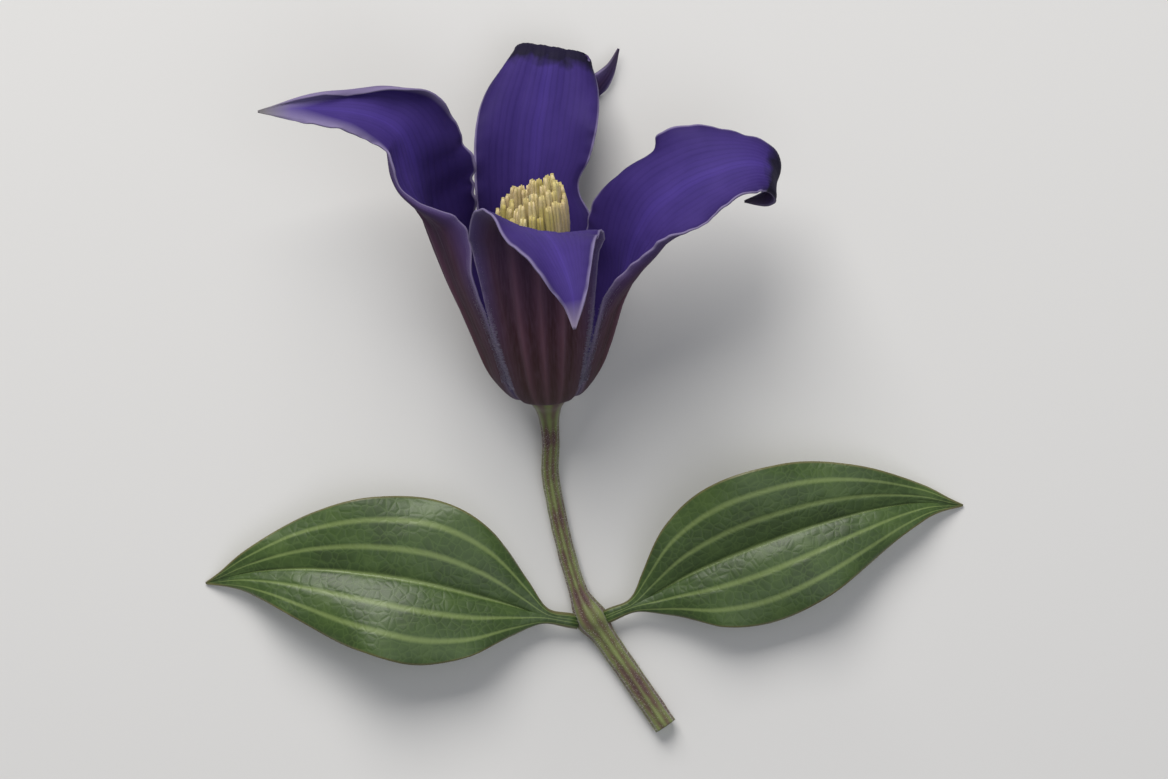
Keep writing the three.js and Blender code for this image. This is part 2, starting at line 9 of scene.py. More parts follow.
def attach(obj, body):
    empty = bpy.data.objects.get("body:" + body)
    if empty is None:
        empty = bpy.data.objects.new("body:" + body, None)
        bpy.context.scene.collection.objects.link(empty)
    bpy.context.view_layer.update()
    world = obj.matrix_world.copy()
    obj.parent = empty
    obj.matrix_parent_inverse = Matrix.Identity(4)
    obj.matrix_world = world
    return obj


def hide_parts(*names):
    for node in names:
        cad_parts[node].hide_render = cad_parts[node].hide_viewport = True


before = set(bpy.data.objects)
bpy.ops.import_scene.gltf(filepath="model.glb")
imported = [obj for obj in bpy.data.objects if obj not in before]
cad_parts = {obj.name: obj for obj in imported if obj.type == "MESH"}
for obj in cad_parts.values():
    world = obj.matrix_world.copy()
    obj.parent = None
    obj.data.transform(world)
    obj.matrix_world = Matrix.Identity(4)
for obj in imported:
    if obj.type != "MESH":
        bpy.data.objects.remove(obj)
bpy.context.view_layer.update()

# A cut clematis flower lying on a pale surface, seen from straight above.
# Lengths are in millimetres until a point is placed, and MM turns them to metres.
MM = 0.001

# Driving dimensions
AXIS_TILT = radians(28)
AXIS_LEAN = radians(4)
RECEPTACLE_LIFT = 6.4
BOX_MIDDLE = (4.943, 0.76)

SEPAL_WIDTH = 19.2
SEPAL_THICKNESS = 0.46
SEPAL_BASE_THICKNESS = 0.9
SEPAL_FOOT = 0.8
SEPAL_GAP = 0.25
CUP_LOBING = 0.2
WIDENING = 0.07  # the share of its length over which a sepal widens once it leaves the cup
SEPAL_RUN = 60
SEPAL_ROWS, SEPAL_COLUMNS = 156, 60

RIB_PLACE = 0.34  # as a share of the half width, like every place across a sepal or a leaf
RIB_SPREAD = 0.062
RIB_HEIGHT = 0.42
RIB_GROOVE = 0.12
FINE_VEIN_PHASE = 58  # radians of their wave from a sepal's middle to its margin
INNER_VEIN_HEIGHT = 0.022
OUTER_VEIN_HEIGHT = 0.05
CRINKLE_HEIGHT = 0.5
CRINKLE_LENGTH = 1.5
WOOL_HAIRS = 3200
WOOL_LENGTH = (0.25, 0.62)
WOOL_RADIUS = 0.026
HAIR_CLEARANCE = 0.05  # over the surface that the flower lies on

LEAF_THICKNESS = 0.42
PETIOLE_THICKNESS = 1.5
LEAF_FOOT = 1.1
LEAF_RUN = 54
LEAF_ROWS, LEAF_COLUMNS = 140, 64
NEAR_VEIN, FAR_VEIN = 0.36, 0.7
VEIN_DEPTH_ABOVE, VEIN_HEIGHT_BELOW = 0.2, 0.5
QUILTING = 0.07

STEM_RADIUS = 1.55
STEM_RIDGES = 8
RIDGE_HEIGHT, UNEVENNESS = 0.055, 0.04  # as shares of the radius
STEM_HAIRS = 2600
STEM_HAIR_LENGTH = (0.2, 0.5)
STEM_HAIR_RADIUS = 0.022
CUT_RINGS = (0.16, 0.3, 0.25)
CUT_STEP = 0.04
PEDUNCLE_RADIUS = 1.15
NODE_RADIUS = 2.2
RECEPTACLE_RADIUS = 2.85
RECEPTACLE_TOP = 0.9
ANTHER_LENGTH = 7


# Placing

LEAN = Matrix.Rotation(AXIS_LEAN, 3, "Z")
AXIS = LEAN @ Vector((0, cos(AXIS_TILT), sin(AXIS_TILT)))
BACK = LEAN @ Vector((0, sin(AXIS_TILT), -cos(AXIS_TILT)))
RIGHT = LEAN @ Vector((1, 0, 0))
RECEPTACLE = Vector((-BOX_MIDDLE[0], -BOX_MIDDLE[1], RECEPTACLE_LIFT))


def flower_point(azimuth, radius, drift, height):
    """A point at a radius and height on the flower, drifted sideways, at an azimuth in degrees."""
    angle = radians(azimuth)
    outward = RIGHT * cos(angle) + BACK * sin(angle)
    sideways = BACK * cos(angle) - RIGHT * sin(angle)
    return RECEPTACLE + outward * radius + sideways * drift + AXIS * height


def surface_point(x, y, z):
    """A point given from the spot on the surface below the receptacle."""
    return Vector((x - BOX_MIDDLE[0], y - BOX_MIDDLE[1], z))


def clamp(x, low=0.0, high=1.0):
    return min(max(x, low), high)


def lerp(a, b, share):
    return a + (b - a) * share


def smoothstep(x, low, high):
    share = clamp((x - low) / (high - low))
    return share * share * (3 - 2 * share)


def along(stations, t):
    """A smooth value at t through (t, value) stations, with slopes taken from the neighbours."""
    last = len(stations) - 1
    k = 0
    while k < last - 1 and t > stations[k + 1][0]:
        k += 1

    def slope(i):
        before, after = stations[max(i - 1, 0)], stations[min(i + 1, last)]
        return (after[1] - before[1]) / (after[0] - before[0])

    span = stations[k + 1][0] - stations[k][0]
    x = clamp((t - stations[k][0]) / span)
    rise = 3 * x**2 - 2 * x**3
    ends = (1 - rise) * stations[k][1] + rise * stations[k + 1][1]
    return ends + (x**3 - 2 * x**2 + x) * span * slope(k) + (x**3 - x**2) * span * slope(k + 1)


def line_stations(points):
    """A line through points as one station list for each part, with t from 0 to 1 by length."""
    travelled = [0.0]
    for before, after in zip(points, points[1:]):
        travelled.append(travelled[-1] + (Vector(after[:3]) - Vector(before[:3])).length)
    parts = range(len(points[0]))
    return [[(s / travelled[-1], p[part]) for s, p in zip(travelled, points)] for part in parts]


def point_on(stations, t):
    """The line's point at t."""
    return Vector([along(part, t) for part in stations[:3]])


def direction_on(stations, t):
    """The way the line runs at t."""
    step = 0.004
    return (point_on(stations, min(t + step, 1)) - point_on(stations, max(t - step, 0))).normalized()


def cross_section(turn, w):
    """How far across and how far inward a cross-section has come at width w, as it turns."""
    steps = 12
    step = w / steps
    across = inward = 0.0
    for i in range(steps):
        angle = turn((i + 0.5) * step)
        across += cos(angle) * step
        inward += sin(angle) * step
    return across, inward


# Sepals: the same lines as the solids, as (radius, drift, height) on the flower

CUP_LINE = [(3.05, 0, 0.9), (5.3, 0, 1.8), (7.2, 0, 4.6)]

SEPAL_OUTLINE = [
    (0, 0.3), (0.08, 0.55), (0.2, 0.84), (0.38, 1), (0.56, 0.97),
    (0.7, 0.78), (0.8, 0.52), (0.88, 0.3), (0.94, 0.15), (1, 0.02),
]

EVEN = {1: [(0, 1), (1, 1)], -1: [(0, 1), (1, 1)]}
HALFWAY = {1: 0.5, -1: 0.5}
# A fold past the tip, so no painted fold shade anywhere.
NO_FOLD_SHADE = 2  # past the tip, so nowhere

# Each sepal: the side of the flower it stands on, its line, its width as a share of SEPAL_WIDTH, and the
# stretch over which its own section takes over from the cup's. Then, as (t, value) stations along it,
# channel is the bend across it in 1/mm, roll its turn about its line in degrees, fullness each half's width
# as a share, and curl the turn of each margin in radians, which begins at curl_start of the half width.
# The halves are 1 and -1. Wave is the height, length and phase of the margins' waves, tip the tip's colour,
# fold the t from which the sepal lies folded over and its velvet is painted nearly black as shade, and hem
# how wide its pale hem grows, in millimetres.
SEPALS = {
    "sepal_back": {
        "azimuth": 90,
        "limb": [
            (8.7, 0, 9), (10.1, 0, 14), (11.5, 0, 20), (13, -0.2, 26.5), (15.2, -1.1, 32.8),
            (18, -2.7, 38.4), (19.9, -3.4, 41.1), (21.3, -3.6, 41.7), (22.4, -3.6, 40.1), (22.8, -4, 37.1),
            (22.7, -5.4, 34.6), (22.8, -7.6, 33.6), (23.4, -9.8, 34.6), (24.6, -11.6, 36.4),
            (26, -12.9, 38.6),
        ],
        "share": 0.88,
        "leaves_cup": (0.28, 0.46),
        "channel": [
            (0, 0.1), (0.3, 0.1), (0.45, 0.09), (0.55, 0.06), (0.63, 0.02), (0.7, -0.03), (0.76, 0.03),
            (0.82, 0.22), (0.9, 0.2), (1, 0.1),
        ],
        "roll": [(0, 0), (1, 0)],
        "curl": {
            1: [
                (0, -0.25), (0.46, -0.3), (0.58, -1.5), (0.68, -2.1), (0.76, -1.4), (0.86, -0.25),
                (1, -0.25),
            ],
            -1: [
                (0, -0.25), (0.28, -0.85), (0.36, -0.85), (0.42, -0.5), (0.48, -0.25), (0.6, -0.6),
                (0.72, -1.4), (0.84, -0.4), (1, -0.25),
            ],
        },
        "fullness": {
            1: [(0, 1), (0.6, 1), (0.66, 0.95), (0.7, 0.86), (0.76, 0.86), (0.86, 1), (1, 1)],
            -1: [
                (0, 1), (0.33, 1), (0.365, 0.92), (0.4, 0.76), (0.435, 0.74), (0.48, 0.9), (0.54, 0.98),
                (0.6, 1), (1, 1),
            ],
        },
        "curl_start": HALFWAY,
        "wave": (0.6, 10.5, 0.4),
        "tip": "#4a4052",
        "fold": 0.692,
        "hem": 0.3,
    },
    "sepal_left": {
        "azimuth": 180,
        "limb": [
            (8.7, 0, 9), (10.1, 0, 13.4), (11.9, 0, 19), (13.5, 0, 24.6), (14.8, 0, 30), (15.6, 0, 34.4),
            (16.1, 0, 38), (17.2, 0, 41), (20.7, 0, 43.5), (27.4, 0, 45), (35.4, 0, 45.3),
        ],
        "share": 0.92,
        "leaves_cup": (0.28, 0.46),
        "channel": [
            (0, 0.1), (0.3, 0.1), (0.42, 0.13), (0.52, 0.13), (0.6, 0.07), (0.68, 0.03), (0.8, 0.04),
            (1, 0.15),
        ],
        "roll": [(0, 0), (0.48, 0), (0.56, -22), (0.64, -50), (0.74, -40), (1, -30)],
        "curl": {
            1: [
                (0, -0.25), (0.34, -0.25), (0.41, -0.1), (0.48, 0.9), (0.56, 1.7), (0.64, 1.5), (0.72, 0.6),
                (0.8, 0.1), (1, -0.3),
            ],
            -1: [
                (0, -0.25), (0.3, -0.1), (0.38, 0.6), (0.48, 0.8), (0.58, 0.2), (0.66, 0), (0.74, 2.6),
                (0.84, 3.2), (0.92, 3), (1, 1),
            ],
        },
        "fullness": {
            1: [
                (0, 1), (0.46, 1), (0.55, 0.9), (0.62, 0.72), (0.7, 0.56), (0.77, 0.62), (0.84, 0.85),
                (0.9, 1), (1, 1),
            ],
            -1: [
                (0, 1), (0.34, 1), (0.4, 1.08), (0.46, 1.15), (0.52, 1.16), (0.58, 1.12), (0.66, 1.06),
                (0.74, 1), (1, 1),
            ],
        },
        "curl_start": {1: 0.5, -1: 0.25},
        "wave": (0.8, 11, 2.2),
        "tip": "#6f6e6a",
        "fold": NO_FOLD_SHADE,
        "hem": 2.2,
    },
    "sepal_right": {
        "azimuth": 0,
        "limb": [
            (9.1, 0, 9.2), (10.8, 0, 14.5), (12.3, 0, 19.5), (13.8, 0, 23.6), (16.2, 0, 27.2),
            (21.2, 0.1, 30.5), (26, 0.4, 32.1), (29.6, 0.8, 32.2), (31.7, 1.3, 30.8), (32.3, 1.9, 28.2),
            (31, 2.8, 26), (28.2, 3.8, 25.2),
        ],
        "share": 1,
        "leaves_cup": (0.18, 0.32),
        "channel": [(0, 0.12), (0.25, 0.12), (0.36, 0.09), (0.48, 0.05), (0.6, 0.04), (0.8, 0.02), (1, 0.08)],
        "roll": [(0, 0), (0.28, 0), (0.4, 18), (0.5, 28), (0.6, 32), (0.8, 32), (1, 20)],
        "curl": {
            1: [
                (0, -0.25), (0.28, -0.1), (0.36, -0.1), (0.41, -0.3), (0.45, -0.6), (0.54, -2.2),
                (0.592, -2.2), (0.622, -0.3), (0.7, -0.5), (0.85, -0.3), (1, -0.2),
            ],
            -1: [
                (0, -0.25), (0.28, -0.2), (0.34, 0.8), (0.42, 1.8), (0.5, 1.5), (0.6, 0.9), (0.76, 0.9),
                (0.88, -0.2), (1, -0.3),
            ],
        },
        "fullness": EVEN,
        "curl_start": HALFWAY,
        "wave": (0.8, 12, 3.6),
        "tip": "#5f5a68",
        "fold": 0.855,
        "hem": 0.3,
    },
    "sepal_front": {
        "azimuth": 270,
        "limb": [
            (8.7, 0, 9), (10, 0, 14), (11.1, 0, 19.5), (11.7, 0, 24), (12.1, 0, 28), (13.6, 0.2, 31.4),
            (17.2, 1.2, 32.9), (21.4, 2.5, 32.8), (25.2, 3.7, 31), (27.9, 4.4, 28.6), (29.8, 4.3, 25.2),
        ],
        "share": 1,
        "leaves_cup": (0.36, 0.6),
        "channel": [(0, 0.1), (0.3, 0.1), (0.48, 0.085), (0.58, 0.05), (0.7, 0.05), (1, 0.12)],
        "roll": [(0, 0), (0.5, 0), (0.62, -8), (0.8, 6), (1, 50)],
        "curl": {
            1: [(0, -0.25), (1, -0.35)],
            -1: [(0, -0.25), (1, -0.35)],
        },
        "fullness": EVEN,
        "curl_start": HALFWAY,
        "wave": (0.6, 10, 1.4),
        "tip": "#857b90",
        "fold": NO_FOLD_SHADE,
        "hem": 0.5,
    },
}


def half_width_in_cup(radius, bend):
    """In the cup a sepal ends a small gap short of the plane midway to its neighbour."""
    reach = (radius - bend - SEPAL_GAP * sqrt(2)) / (bend * sqrt(2))
    return bend * (pi / 4 + asin(clamp(reach, -1, 1)))


def sepal_sheet(sepal):
    """The middle surface of a sepal as rows of points, and each row's half width.
    The frame is carried along the sepal's line without twist."""
    stations = line_stations(CUP_LINE + sepal["limb"])
    wave_height, wave_length, wave_phase = sepal["wave"]
    sideways, before = Vector((0, 1, 0)), direction_on(stations, 0)
    grid, half_widths = [], []
    for i in range(SEPAL_ROWS + 1):
        t = i / SEPAL_ROWS
        centre = point_on(stations, t)
        forward = direction_on(stations, t)
        sideways.rotate(before.rotation_difference(forward))
        before = forward
        inner = forward.cross(sideways)
        roll = radians(along(sepal["roll"], t))
        across = sideways * cos(roll) + inner * sin(roll)
        rolled_inner = inner * cos(roll) - sideways * sin(roll)
        limb_share = smoothstep(t, *sepal["leaves_cup"])
        inward = Vector((-1, 0, 0)).lerp(rolled_inner, limb_share).normalized()
        bend = centre.x * (1 - CUP_LOBING * smoothstep(t, 0.02, 0.15))
        curvature = lerp(1 / bend, along(sepal["channel"], t), limb_share)
        natural = SEPAL_WIDTH * sepal["share"] * along(SEPAL_OUTLINE, t) / 2
        in_cup = min(natural, half_width_in_cup(centre.x, bend))
        leaves = sepal["leaves_cup"][1]
        half_width = lerp(in_cup, natural, smoothstep(t, leaves, leaves + WIDENING))
        edge_share = smoothstep(t, 0.4, 0.6) * min(half_width / 4, 1)
        crinkle_share = smoothstep(t, 0.3, 0.45) * min(half_width / 3, 1)
        row = []
        for j in range(SEPAL_COLUMNS + 1):
            u = 2 * j / SEPAL_COLUMNS - 1
            side = 1 if u > 0 else -1
            side_width = half_width * along(sepal["fullness"][side], t)
            start = sepal["curl_start"][side]
            curl = along(sepal["curl"][side], t) * smoothstep(t, 0.1, 0.3)

            def turn(w):
                curled = max((abs(w) / side_width - start) / (1 - start), 0) ** 2
                return curvature * w + copysign(1, w) * curl * curled

            side_step, in_step = cross_section(turn, u * side_width)
            phase = 2 * pi * t * SEPAL_RUN / wave_length + wave_phase + (1.9 if u > 0 else 0)
            wave = wave_height * edge_share * abs(u) ** 3 * sin(phase)
            crinkle = CRINKLE_HEIGHT * crinkle_share * smoothstep(abs(u), 0.72, 1) ** 2
            spot = Vector((t * SEPAL_RUN / CRINKLE_LENGTH, side * 7.3, sepal["azimuth"] / 10))
            crinkle *= noise.noise(spot)
            point = centre + across * side_step + inward * in_step + rolled_inner * (wave + crinkle)
            if i == 0:
                point -= forward * SEPAL_FOOT
            row.append(flower_point(sepal["azimuth"], *point))
        grid.append(row)
        half_widths.append(half_width)
    return grid, half_widths


def sheet_normal(grid, i, j):
    """The way a grid of points faces at row i and column j."""
    lengthwise = grid[min(i + 1, len(grid) - 1)][j] - grid[max(i - 1, 0)][j]
    across = grid[i][min(j + 1, len(grid[0]) - 1)] - grid[i][max(j - 1, 0)]
    return lengthwise.cross(across).normalized()


def sheet_bmesh(grid, half_widths, run, upper, lower):
    """A thin closed sheet round a grid of points: a plane grid, doubled by an extrusion and moved into place.
    Two attributes go with it: surface holds the millimetres across and along and the side, 0 above and 1
    below, and share holds the share across, the share along and the millimetres to the margin."""
    rows, columns = len(grid) - 1, len(grid[0]) - 1
    bm = bmesh.new()
    surface = bm.verts.layers.float_vector.new("surface")
    share = bm.verts.layers.float_vector.new("share")
    bmesh.ops.create_grid(bm, x_segments=columns, y_segments=rows, size=1)
    doubled = bmesh.ops.extrude_face_region(bm, geom=bm.faces[:])
    under = {v for v in doubled["geom"] if isinstance(v, bmesh.types.BMVert)}
    for vert in bm.verts:
        j = round((vert.co.x + 1) / 2 * columns)
        i = round((vert.co.y + 1) / 2 * rows)
        u, t = 2 * j / columns - 1, i / rows
        normal = sheet_normal(grid, i, j)
        beneath = vert in under
        point = grid[i][j] + normal * (-lower(u, t) if beneath else upper(u, t))
        point.z = max(point.z, 0)
        vert[surface] = (u * half_widths[i], t * run, 1 if beneath else 0)
        vert[share] = (u, t, (1 - abs(u)) * half_widths[i])
        vert.co = point * MM
    turn_outward(bm)
    return bm


def turn_outward(bm):
    """Makes a closed shape's faces agree and point outwards."""
    bmesh.ops.recalc_face_normals(bm, faces=bm.faces[:])
    if bm.calc_volume(signed=True) < 0:
        bmesh.ops.reverse_faces(bm, faces=bm.faces[:])


def rib_relief(u, t):
    """The three raised ribs on a sepal's outer face, from 0 to 1."""
    share = smoothstep(t, 0.04, 0.16) * (1 - smoothstep(t, 0.62, 0.95))
    return share * max(exp(-(((u - place) / RIB_SPREAD) ** 2)) for place in (-RIB_PLACE, 0, RIB_PLACE))


def fine_veins(u, t):
    """Fine lines that run the length of a sepal, from -1 to 1."""
    wander = noise.noise(Vector((u * 5, t * 9, 2.5)))
    return sin(u * FINE_VEIN_PHASE + 1.6 * wander)


def sepal_half_thickness(u, t):
    """Half a sepal's thickness: thick at its foot, thin at its margins and its tip."""
    middle = lerp(SEPAL_BASE_THICKNESS, SEPAL_THICKNESS, smoothstep(t, 0, 0.2)) / 2
    return middle * (1 - 0.45 * smoothstep(abs(u), 0.8, 1)) * (1 - 0.6 * smoothstep(t, 0.93, 1))


def sepal_bmesh(grid, half_widths):
    """A sepal's skin: fine veins inside, three ribs and fine lines outside."""

    def inner_face(u, t):
        groove = RIB_GROOVE * rib_relief(u, t)
        veins = INNER_VEIN_HEIGHT * fine_veins(u, t) * smoothstep(t, 0.1, 0.25) * (1 - abs(u) ** 4)
        return sepal_half_thickness(u, t) - groove + veins

    def outer_face(u, t):
        between = OUTER_VEIN_HEIGHT * fine_veins(u, t) * smoothstep(t, 0.05, 0.2)
        return sepal_half_thickness(u, t) + RIB_HEIGHT * rib_relief(u, t) + between * (1 - abs(u) ** 4)

    return sheet_bmesh(grid, half_widths, SEPAL_RUN, inner_face, outer_face)


# Leaves: midribs as (x, y, z) from the spot on the surface below the receptacle

LEAF_OUTLINE = [
    (0, 0.09), (0.07, 0.1), (0.14, 0.34), (0.26, 0.78), (0.4, 1),
    (0.55, 0.93), (0.7, 0.68), (0.84, 0.34), (0.94, 0.11), (1, 0.012),
]

# Each leaf: its width and its midrib, then its roll about it in degrees as (t, value) stations, the angle at
# which its halves rise from the midrib and how far they droop again by the margin, in radians, and the
# height, length and phase of its margins' waves.
LEAVES = {
    "leaf_left": {
        "width": 23,
        "midrib": [
            (3.05, -30.6, 2.3), (0, -30, 3), (-8, -27.6, 5.2), (-19, -25, 6.6),
            (-31, -23.6, 5.4), (-40, -24, 2.9), (-46.5, -25.6, 0.25),
        ],
        "roll": [(0, 0), (0.4, 7), (1, 0)],
        "fold": 0.42,
        "droop": 0.62,
        "wave": (0.7, 15, 0.5),
    },
    "leaf_right": {
        "width": 21.5,
        "midrib": [
            (8.45, -29.9, 2.3), (12, -28.3, 3), (20, -23.9, 4.9), (31, -19.4, 6),
            (42, -16, 4.8), (50.5, -14.6, 2.4), (56.5, -15, 0.25),
        ],
        "roll": [(0, 0), (0.4, 9), (1, 0)],
        "fold": 0.5,
        "droop": 0.7,
        "wave": (0.6, 17, 2.6),
    },
}


def leaf_sheet(leaf):
    """The middle surface of a leaf as rows of points, and each row's half width."""
    stations = line_stations(leaf["midrib"])
    wave_height, wave_length, wave_phase = leaf["wave"]
    grid, half_widths = [], []
    for i in range(LEAF_ROWS + 1):
        t = i / LEAF_ROWS
        centre = point_on(stations, t)
        forward = direction_on(stations, t)
        sideways = Vector((0, 0, 1)).cross(forward).normalized()
        upward = forward.cross(sideways)
        roll = radians(along(leaf["roll"], t))
        across = sideways * cos(roll) + upward * sin(roll)
        normal = upward * cos(roll) - sideways * sin(roll)
        half_width = leaf["width"] * along(LEAF_OUTLINE, t) / 2
        row = []
        for j in range(LEAF_COLUMNS + 1):
            u = 2 * j / LEAF_COLUMNS - 1

            def turn(w):
                return copysign(1, w) * (leaf["fold"] - leaf["droop"] * abs(w) / half_width)

            side_step, up_step = cross_section(turn, u * half_width)
            phase = 2 * pi * t * LEAF_RUN / wave_length + wave_phase + (2.3 if u > 0 else 0)
            wave = wave_height * abs(u) ** 3 * sin(phase) * min(half_width / 5, 1)
            point = surface_point(*centre) + across * side_step + normal * (up_step + wave)
            if i == 0:
                point -= forward * LEAF_FOOT
            row.append(point)
        grid.append(row)
        half_widths.append(half_width)
    return grid, half_widths


def leaf_veins(u, t):
    """The midrib and the arching side veins of a leaf, from 0 to 1."""
    midrib = exp(-((u / 0.045) ** 2)) * (1 - 0.5 * t)
    arch = smoothstep(t, 0.06, 0.16) * (1 - smoothstep(t, 0.8, 0.98))
    near = 0.4 * exp(-(((abs(u) - NEAR_VEIN) / 0.03) ** 2)) * arch
    far = 0.22 * exp(-(((abs(u) - FAR_VEIN) / 0.026) ** 2)) * arch * (1 - smoothstep(t, 0.6, 0.8))
    return max(midrib, near, far)


def leaf_bmesh(grid, half_widths):
    """A leaf's skin: veins sunk above and raised below, the blade slightly quilted between them."""

    def thickness(u, t):
        petiole = 1 - smoothstep(t, 0.05, 0.15)
        rounded = PETIOLE_THICKNESS * sqrt(max(1 - u * u, 0.03))
        thin = LEAF_THICKNESS * (1 - 0.4 * smoothstep(abs(u), 0.9, 1)) * (1 - 0.6 * smoothstep(t, 0.94, 1))
        return lerp(thin, rounded, petiole) / 2

    def quilting(u, t):
        rise = noise.noise(Vector((u * 9, t * 26, 4.2))) * QUILTING
        return rise * (1 - leaf_veins(u, t)) * smoothstep(t, 0.1, 0.2) * (1 - u * u)

    def upper_face(u, t):
        veins = VEIN_DEPTH_ABOVE * leaf_veins(u, t) * smoothstep(t, 0.04, 0.14)
        return thickness(u, t) - veins + quilting(u, t)

    def lower_face(u, t):
        veins = VEIN_HEIGHT_BELOW * leaf_veins(u, t) * smoothstep(t, 0.04, 0.14)
        return thickness(u, t) + veins - quilting(u, t)

    return sheet_bmesh(grid, half_widths, LEAF_RUN, upper_face, lower_face)


# Rods and repeats

def add_rod(bm, sides, rings, place, material=0):
    """A closed rod, moved into place: place(share, angle) gives the point at a share of its length.
    The attribute share holds the cosine and sine round the rod and the share along it."""
    if "share" not in bm.verts.layers.float_vector:
        bm.verts.layers.float_vector.new("share")
    facts = bm.verts.layers.float_vector["share"]
    first = len(bm.verts)
    ends = bmesh.ops.create_cone(bm, cap_ends=True, segments=sides, radius1=1, radius2=1, depth=1)["verts"]
    walls = {e for v in ends for e in v.link_edges if abs(e.verts[0].co.z - e.verts[1].co.z) > 0.5}
    bmesh.ops.subdivide_edges(bm, edges=list(walls), cuts=rings - 1, use_grid_fill=True)
    bm.verts.ensure_lookup_table()
    verts = bm.verts[first:]
    for face in {f for v in verts for f in v.link_faces}:
        face.material_index = material
    for vert in verts:
        share, angle = vert.co.z + 0.5, atan2(vert.co.y, vert.co.x)
        vert[facts] = (cos(angle), sin(angle), share)
        vert.co = place(share, angle)


def repeated(template, count):
    """A bmesh of count copies of a template bmesh, and the copies' vertices, copy by copy."""
    mesh = bpy.data.meshes.new("template")
    template.to_mesh(mesh)
    template.free()
    size = len(mesh.vertices)
    bm = bmesh.new()
    for _ in range(count):
        bm.from_mesh(mesh)
    bpy.data.meshes.remove(mesh)
    bm.verts.ensure_lookup_table()
    return bm, (bm.verts[k * size:(k + 1) * size] for k in range(count))


def hairs(places, radius):
    """Short tapered hairs with three sides, drawn thicker than real ones, at (root, direction, length)."""
    template = bmesh.new()
    bmesh.ops.create_cone(template, cap_ends=True, cap_tris=True, segments=3, radius1=1, radius2=0.3, depth=1)
    bm, copies = repeated(template, len(places))
    for verts, (root, direction, length) in zip(copies, places):
        turn = direction.to_track_quat("Z", "Y").to_matrix()
        for vert in verts:
            x, y, z = vert.co
            vert.co = (root + turn @ Vector((x * radius, y * radius, (z + 0.5) * length))) * MM
    return bm


def margin_wool(grid, seed):
    """Felt along both margins of a sepal: a fringe at the very edge and down beside it on the outer face."""
    chance = random.Random(seed)
    places = []
    for _ in range(WOOL_HAIRS):
        t = 0.1 + 0.89 * chance.random() ** 1.5
        i = min(int(t * SEPAL_ROWS), SEPAL_ROWS - 1)
        left = chance.random() < 0.5
        inset = int(5 * chance.random() ** 1.6)
        j = inset if left else SEPAL_COLUMNS - inset
        beside = j + 1 if left else j - 1
        between = chance.random()
        root = grid[i][j].lerp(grid[i + 1][j], between)
        outward = (grid[i][j] - grid[i][beside]).normalized()
        forward = (grid[i + 1][j] - grid[i][j]).normalized()
        normal = sheet_normal(grid, i, j)
        root -= normal * (sepal_half_thickness(2 * j / SEPAL_COLUMNS - 1, t) * (0.8 if inset else 0.3))
        root -= outward * 0.08
        lift = chance.uniform(-0.9, 0.5) if inset == 0 else chance.uniform(-1.1, -0.5)
        direction = (outward + normal * lift + forward * chance.uniform(-0.3, 0.9)).normalized()
        length = chance.uniform(*WOOL_LENGTH) * (1 - 0.85 * smoothstep(t, 0.24, 0.42))
        if min(root.z, (root + direction * length).z) > HAIR_CLEARANCE:
            places.append((root, direction, length))
    return hairs(places, WOOL_RADIUS)


# Stamens

# Each whorl: how many stamens, how far out they root and end, and how high they reach. The boss leans: its
# right side stands higher and its left side spreads.
WHORLS = [
    {"count": 13, "root": 1.95, "top": 2.15, "height": 31.4},
    {"count": 18, "root": 2.2, "top": 3.15, "height": 31},
    {"count": 23, "root": 2.45, "top": 4.1, "height": 29.4},
]
RIGHT_SIDE_LIFT = 1.5
LEFT_SIDE_SPREAD = 0.9
HEIGHT_VARIES = 1.6
STAMEN_FLOOR = 0.8
STAMEN_HEIGHT = 30


def stamen_template():
    """One stamen standing on its root, x across and y outward: a flat filament and an anther of two sacs."""
    bm = bmesh.new()
    filament_width = [(0, 0.26), (0.4, 0.36), (0.8, 0.4), (1, 0.24)]
    filament_top = STAMEN_HEIGHT - ANTHER_LENGTH + 0.4

    def filament(share, angle):
        width = along(filament_width, share)
        return Vector((width * cos(angle), 0.12 * sin(angle), share * filament_top))

    def connective(share, angle):
        width = 0.2 * (1 - 0.4 * share)
        height = filament_top - 0.6 + share * (ANTHER_LENGTH - 0.05)
        return Vector((width * cos(angle), 0.05 + 0.33 * sin(angle) * (1 - 0.3 * share), height))

    add_rod(bm, 8, 9, filament, 1)
    add_rod(bm, 6, 6, connective, 1)
    for side in (-1, 1):

        def sac(share, angle):
            girth = sin(pi * clamp(share, 0.02, 0.98)) ** 0.3
            x = side * 0.25 + 0.31 * girth * cos(angle)
            y = 0.02 + 0.44 * girth * sin(angle)
            return Vector((x, y, STAMEN_HEIGHT - ANTHER_LENGTH + 0.1 + share * (ANTHER_LENGTH - 0.5)))

        add_rod(bm, 8, 12, sac, 0)
    bmesh.ops.recalc_face_normals(bm, faces=bm.faces[:])
    return bm


